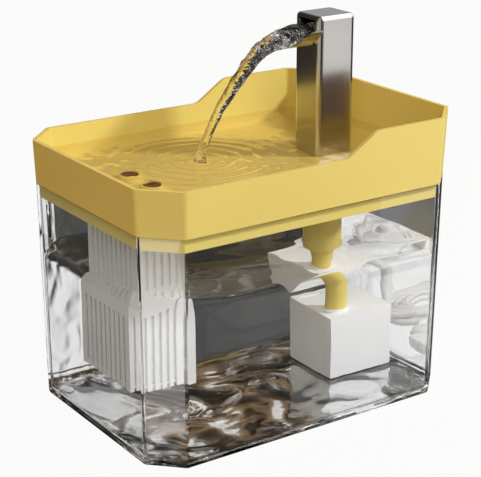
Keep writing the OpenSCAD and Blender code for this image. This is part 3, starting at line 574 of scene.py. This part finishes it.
def floor_rings(bottom, inset, cove):
    """The pool's flat floor from the middle out, and the round cove at the foot of its walls."""
    low = bottom - OVERLAP
    edge = outline(skin(bottom) + inset + cove)
    rings = [[Vector((p.x * part, p.y * part, low)) for p in edge] for part in FLOOR_PARTS]
    for k in range(1, COVE_STEPS + 1):
        a = math.pi / 2 * k / COVE_STEPS
        z = low + cove * (1 - math.cos(a))
        ring = outline(skin(z) + inset + cove * (1 - math.sin(a)))
        rings.append([Vector((p.x, p.y, z)) for p in ring])
    return rings


def shoulder_rings(level, inset, shoulder, height):
    """The round shoulder that joins the walls and the moving surface."""
    rings = []
    for k in range(SHOULDER_STEPS):
        rise = k / SHOULDER_STEPS
        a = math.pi / 2 * rise
        z = level - shoulder * (1 - math.sin(a))
        ring = outline(skin(z) + inset + shoulder * (1 - math.cos(a)))
        rings.append([Vector((p.x, p.y, z + rise * height(p))) for p in ring])
    return rings


def surface_rings(level, inset, height):
    rings = []
    edge = outline(skin(level) + inset)
    for k in range(SURFACE_STEPS):
        part = 1 - (1 - CENTRE_PART) * k / SURFACE_STEPS
        rings.append([Vector((*(p * part), level + height(p * part))) for p in edge])
    return rings


def pool(name, body, bottom, level, wall, cove, shoulder, height, material):
    """Water that fills a drafted basin with a coved floor, up to a moving surface."""
    inset = wall - OVERLAP
    rings = floor_rings(bottom, inset, cove)
    rings += shoulder_rings(level, inset, shoulder, height)
    rings += surface_rings(level, inset + shoulder, height)
    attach(loft(name, rings, material), body)


# Painted shade: an amber tint on the tray's water that darkens and warms the tray floor seen under it, in
# place of the shade there
TRAY_WATER_SHADE_TINT = (0.82, 0.62, 0.38)

pool(
    "tank_water", "tank", bottom=3.3, level=96.5, wall=TANK_WALL, cove=4, shoulder=5.5, height=tank_height,
    material=water("tank_water", TANK_WATER_IOR, ripple_scale=35, ripple_height=0.0004),
)
pool(
    "tray_water", "tray", bottom=141, level=153.2, wall=TRAY_WALL, cove=5, shoulder=0.8, height=tray_height,
    material=water("tray_water", TRAY_WATER_IOR, ripple_scale=45, ripple_height=0.0008, tint=TRAY_WATER_SHADE_TINT),
)

# The stream's middle in X and Z, its half width and its half thickness, from the spout down
STREAM = [
    (53, 220.5, 7.4, 6.0), (47, 220.4, 7.8, 6.0), (40, 220.3, 9.6, 6.2), (32, 219.6, 9.4, 5.6),
    (24, 218.0, 7.6, 5.0), (17.5, 215.8, 6.2, 4.6), (11.4, 212.7, 5.4, 4.4), (3.5, 205, 4.6, 4.2),
    (-6, 194.5, 3.8, 3.5), (-11.5, 187.9, 3.4, 3.1), (-17.4, 179.9, 3.0, 2.8), (-22.7, 171.2, 2.8, 2.6),
    (-27, 162.6, 2.8, 2.6), (-29.4, 156.5, 3.2, 3.0), (-30, 152.6, 4.2, 3.6),
]
STREAM_STEPS = 8
STREAM_AROUND = 40
# How strongly the stream swells and narrows, as a share of its size. A ring at the spout has the
# calm share of that, one from FULL_FROM_RING on all of it, and one from LATE_FROM_RING on the late share.
UNEVEN = 0.2
CALM_SHARE, FULL_FROM_RING = 0.1, 30
LATE_SHARE, LATE_FROM_RING = 0.64, 70
# Coarse and fine unevenness: share, how close it is along X, Y and Z, and where it is read
COARSE = (1.0, (0.16, 0.5, 0.16), (3.1, 0, 7.7))
FINE = (0.5, (0.4, 0.9, 0.4), (0, 0, 0))


def unevenness(q):
    total = 0
    for share, (x, y, z), shift in (COARSE, FINE):
        total += share * noise.noise(Vector((q.x * x, q.y * y, q.z * z)) + Vector(shift))
    return total


def make_stream():
    middle = smooth_path([(x, 0, z) for x, z, _, _ in STREAM], STREAM_STEPS)
    sizes = smooth_path([(w, t, 0) for _, _, w, t in STREAM], STREAM_STEPS)
    rings = []
    for i, (p, size) in enumerate(zip(middle, sizes)):
        ahead = (middle[min(i + 1, len(middle) - 1)] - middle[max(i - 1, 0)]).normalized()
        up = Vector((0, 1, 0)).cross(ahead)
        share = CALM_SHARE + (1 - CALM_SHARE) * min(1, i / FULL_FROM_RING)
        if i >= LATE_FROM_RING:
            share = LATE_SHARE
        ring = []
        for k in range(STREAM_AROUND):
            a = 2 * math.pi * k / STREAM_AROUND
            out = Vector((0, math.cos(a) * size.x, 0)) + up * math.sin(a) * size.y
            ring.append(p + out * (1 + UNEVEN * share * unevenness(p + out)))
        rings.append(ring)
    material = water("stream_water", STREAM_IOR, ripple_scale=270, ripple_height=0.0013)
    stream = loft("water_stream", rings, material)
    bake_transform(stream)


make_stream()


# ---------- floor, panels and lamps ----------

FLOOR_SIZE = 12
# A little below the surface that the pads and the lead stand on
FLOOR_Z = -0.0003
FLOOR_COLOR = (0.5, 0.46, 0.4)
# How much of what the camera sees of the floor is white glow, and not its own shade
FLOOR_GLOW = 0.94


def floor_material():
    """Pale and matt. Where the camera looks straight at it, it is nearly as white as the backdrop."""
    s = Surface("floor", FLOOR_COLOR, Roughness=0.9, Specular_IOR_Level=0.0)
    glow = s.calculate("MULTIPLY", s.rays()["Is Camera Ray"], FLOOR_GLOW)
    s.show(s.mix(glow, s.shader.outputs[0], s.emission(WHITE)))
    return s.mat


def make_floor():
    bpy.ops.mesh.primitive_plane_add(size=FLOOR_SIZE, location=(0, 0, FLOOR_Z))
    floor = bpy.context.object
    floor.name = "floor"
    floor.data.materials.append(floor_material())
    floor.visible_glossy = False
    floor.visible_transmission = False


# Panels that only gloss sees, in metres. They are mirrored in the tank's front chamfer and in the
# column's side, top and foot. The axis points away from the object, and below and above are how far
# a panel reaches from its centre.
CARD_R = 0.004
CARD_ARC_STEPS = 4
REFLECTED_SHADE_BROWN = (1, 0.65, 0.4)
CARDS = {
    "front_card": {
        "centre": (-0.4886, -0.2999, -0.1305), "axis": (-0.7795, -0.465, -0.4197),
        "width": 0.0385, "below": 0.0835, "above": 0.12, "color": WHITE, "brightness": 4.1,
    },
    "side_card": {
        "centre": (0.141, -0.129, 0.140), "axis": (0.531, -0.779, -0.333),
        "width": 0.085, "below": 0.07, "above": 0.075, "color": WHITE, "brightness": 0.9,
    },
    "top_card": {
        "centre": (0.119, 0.078, 0.265), "axis": (0.531, 0.779, 0.333),
        "width": 0.1, "below": 0.034, "above": 0.04, "color": WHITE, "brightness": 0.42,
    },
    # Painted reflection: a dim brown panel between the column and the tray's near wall, mirrored low on the
    # column's front in place of the shaded inside of that wall
    "low_card": {
        "centre": (0.077, -0.058, 0.166), "axis": (0, -1, 0),
        "width": 0.064, "below": 0.014, "above": 0.018, "color": REFLECTED_SHADE_BROWN, "brightness": 0.1,
    },
}


def glow_material(name, color, brightness):
    mat = bpy.data.materials.new(name)
    mat.use_nodes = True
    mat.node_tree.nodes.clear()
    tree = Nodes(mat.node_tree)
    out = tree.node("ShaderNodeOutputMaterial")
    tree.link(tree.emission(color, brightness), out.inputs["Surface"])
    return mat


def card_points(width, below, above):
    """A rectangle with rounded corners, from the top right one round to the left."""
    points = []
    for side, top, start in ((1, True, 0), (-1, True, 90), (-1, False, 180), (1, False, 270)):
        x = side * (width / 2 - CARD_R)
        y = above - CARD_R if top else CARD_R - below
        for k in range(CARD_ARC_STEPS + 1):
            a = math.radians(start + 90 * k / CARD_ARC_STEPS)
            points.append((x + CARD_R * math.cos(a), y + CARD_R * math.sin(a)))
    return points


def make_card(name, centre, axis, width, below, above, color, brightness):
    """A panel square to its axis."""
    axis = Vector(axis)
    right = axis.cross(Vector((0, 0, 1))).normalized()
    up = right.cross(axis)
    points = [Vector(centre) + right * x + up * y for x, y in card_points(width, below, above)]
    mesh = bpy.data.meshes.new(name)
    mesh.from_pydata([tuple(p) for p in points], [], [tuple(range(len(points)))])
    mesh.materials.append(glow_material(name, color, brightness))
    panel = place(bpy.data.objects.new(name, mesh))
    panel.visible_camera = False
    panel.visible_diffuse = False
    panel.visible_transmission = False
    panel.visible_shadow = False


LAMP_COLOR = (0.97, 1, 1.05)
LAMP_AIM = Vector((0, 0, 0.12))
# Place and size in metres, and power in watts
LAMPS = {
    "key": ((1.0, -0.8, 0.98), (0.12, 0.12), 16.5),
    "front": ((-0.62, -1.3, 1.12), (1.1, 0.8), 12.6),
    "rear": ((0.45, 1.35, 0.9), (1.1, 0.8), 5.5),
}


def make_lamp(name, at, size, power):
    data = bpy.data.lights.new(name, "AREA")
    data.shape = "RECTANGLE"
    data.size, data.size_y = size
    data.energy = power
    data.color = LAMP_COLOR
    lamp = place(bpy.data.objects.new(name, data))
    lamp.location = at
    aim(lamp, LAMP_AIM - Vector(at))
    lamp.visible_glossy = False
    lamp.visible_transmission = False


# ---------- sky ----------

# What the camera sees behind the object
BACKDROP = (0.965, 0.965, 0.965)
# Soft light in the open, and where it comes through a clear surface first
AMBIENT = (0.24, 0.21, 0.17)
AMBIENT_THROUGH_CLEAR = (0.36, 0.335, 0.305)

# Patches of the sky are (azimuth from +X, half width, elevation, half height, soft edge), in degrees.
# Soft light is warmer from the drinking end.
WARM_PATCH = (180, 75, 5, 62, 12)
WARM = (0.46, 0.265, 0.08)
# The dark studio that gloss sees, and the one that is seen through the glass, with the brightness
# of each patch. A later patch covers an earlier one.
STUDIO = (0.035, 0.032, 0.028)
GLOSS_PATCHES = [
    (195, 30, 0, 60, 6, 0.5),
    (56, 40, 22, 16, 8, 0.1),
    (332, 44, 35, 30, 6, 2.5),
    (325, 60, 76, 14, 8, 2.0),
]
GLASS_PATCHES = [
    (29, 13, -22, 14, 3, 1.1),
    (45, 6, -38, 12, 4, 0.02),
    (53, 7, -21, 5, 3, 0.1),
    (61, 6, -20, 12, 4, 0.08),
    (86, 17, -28, 22, 4, 1.0),
    (37, 8, 26, 9, 4, 0.85),
    (155, 22, 5, 60, 6, 1.0),
    (325, 45, 60, 20, 10, 1.3),
]
# A band of the sky seen through glass has cloudy tones, from dark through brown to white
CLOUD_PATCH = (64, 62, 41, 20, 4)
CLOUD_SCALE, CLOUD_DETAIL, CLOUD_DISTORTION = 5.5, 1.0, 0.4
CLOUD_TONES = [
    (0.41, (0.02, 0.017, 0.012)), (0.46, (0.22, 0.14, 0.08)), (0.53, (0.32, 0.22, 0.14)),
    (0.56, (0.95, 0.94, 0.91)),
]
# Places of the colour sockets on a Mix node
MIX_A, MIX_B, MIX_RESULT = 6, 7, 2


class Sky(Nodes):
    """The world, painted by compass direction and height."""

    def __init__(self, tree):
        super().__init__(tree)
        tree.nodes.clear()
        self.direction = self.node("ShaderNodeTexCoord").outputs["Generated"]
        x, y, z = (self.axis(self.direction, name) for name in "XYZ")
        self.azimuth = self.calculate("DEGREES", self.calculate("ARCTAN2", y, x))
        self.elevation = self.calculate("DEGREES", self.calculate("ARCSINE", z))

    def near(self, angle, middle, half, edge):
        """1 less than half away from the middle and 0 beyond it, with a soft edge."""
        off = self.calculate("WRAP", self.calculate("SUBTRACT", angle, middle), 180, -180)
        return self.span(self.calculate("ABSOLUTE", off), half + edge, half - edge, kind="SMOOTHSTEP")

    def paint(self, sky, azimuth, half_width, elevation, half_height, edge, color):
        """Puts a patch of a colour over a sky."""
        blend = self.node("ShaderNodeMix", data_type="RGBA")
        mask = self.calculate(
            "MULTIPLY",
            self.near(self.azimuth, azimuth, half_width, edge),
            self.near(self.elevation, elevation, half_height, edge),
        )
        self.link(mask, blend.inputs["Factor"])
        self.feed(blend.inputs[MIX_A], sky)
        self.feed(blend.inputs[MIX_B], color)
        return blend.outputs[MIX_RESULT]

    def paint_all(self, sky, patches):
        for *patch, bright in patches:
            sky = self.paint(sky, *patch, (bright, bright, bright))
        return sky

    def background(self, color):
        made = self.node("ShaderNodeBackground")
        self.feed(made.inputs["Color"], color)
        return made.outputs[0]


def make_world():
    world = bpy.data.worlds.new("studio")
    bpy.context.scene.world = world
    world.use_nodes = True
    world.cycles.sampling_method = "NONE"
    sky = Sky(world.node_tree)
    rays = sky.rays()

    warmed = sky.paint(AMBIENT, *WARM_PATCH, WARM)
    # The depth counts the clear surfaces that a ray has passed
    came_through = sky.calculate("GREATER_THAN", rays["Transparent Depth"], 0.5)
    cloud = sky.cloud(sky.direction, CLOUD_SCALE, CLOUD_DETAIL, CLOUD_DISTORTION)
    clouded = sky.paint(STUDIO, *CLOUD_PATCH, sky.ramp(cloud, CLOUD_TONES))
    in_gloss = sky.paint_all(STUDIO, GLOSS_PATCHES)
    in_glass = sky.paint_all(clouded, GLASS_PATCHES)

    seen = sky.mix(came_through, sky.background(warmed), sky.background(AMBIENT_THROUGH_CLEAR))
    seen = sky.mix(rays["Is Glossy Ray"], seen, sky.background(in_gloss))
    seen = sky.mix(rays["Is Transmission Ray"], seen, sky.background(in_glass))
    seen = sky.mix(rays["Is Camera Ray"], seen, sky.background(BACKDROP))
    sky.link(seen, sky.node("ShaderNodeOutputWorld").inputs["Surface"])


make_floor()
make_world()
for card_name, card in CARDS.items():
    make_card(card_name, **card)
for lamp_name, lamp_values in LAMPS.items():
    make_lamp(lamp_name, *lamp_values)

bpy.context.scene.view_settings.view_transform = "Standard"
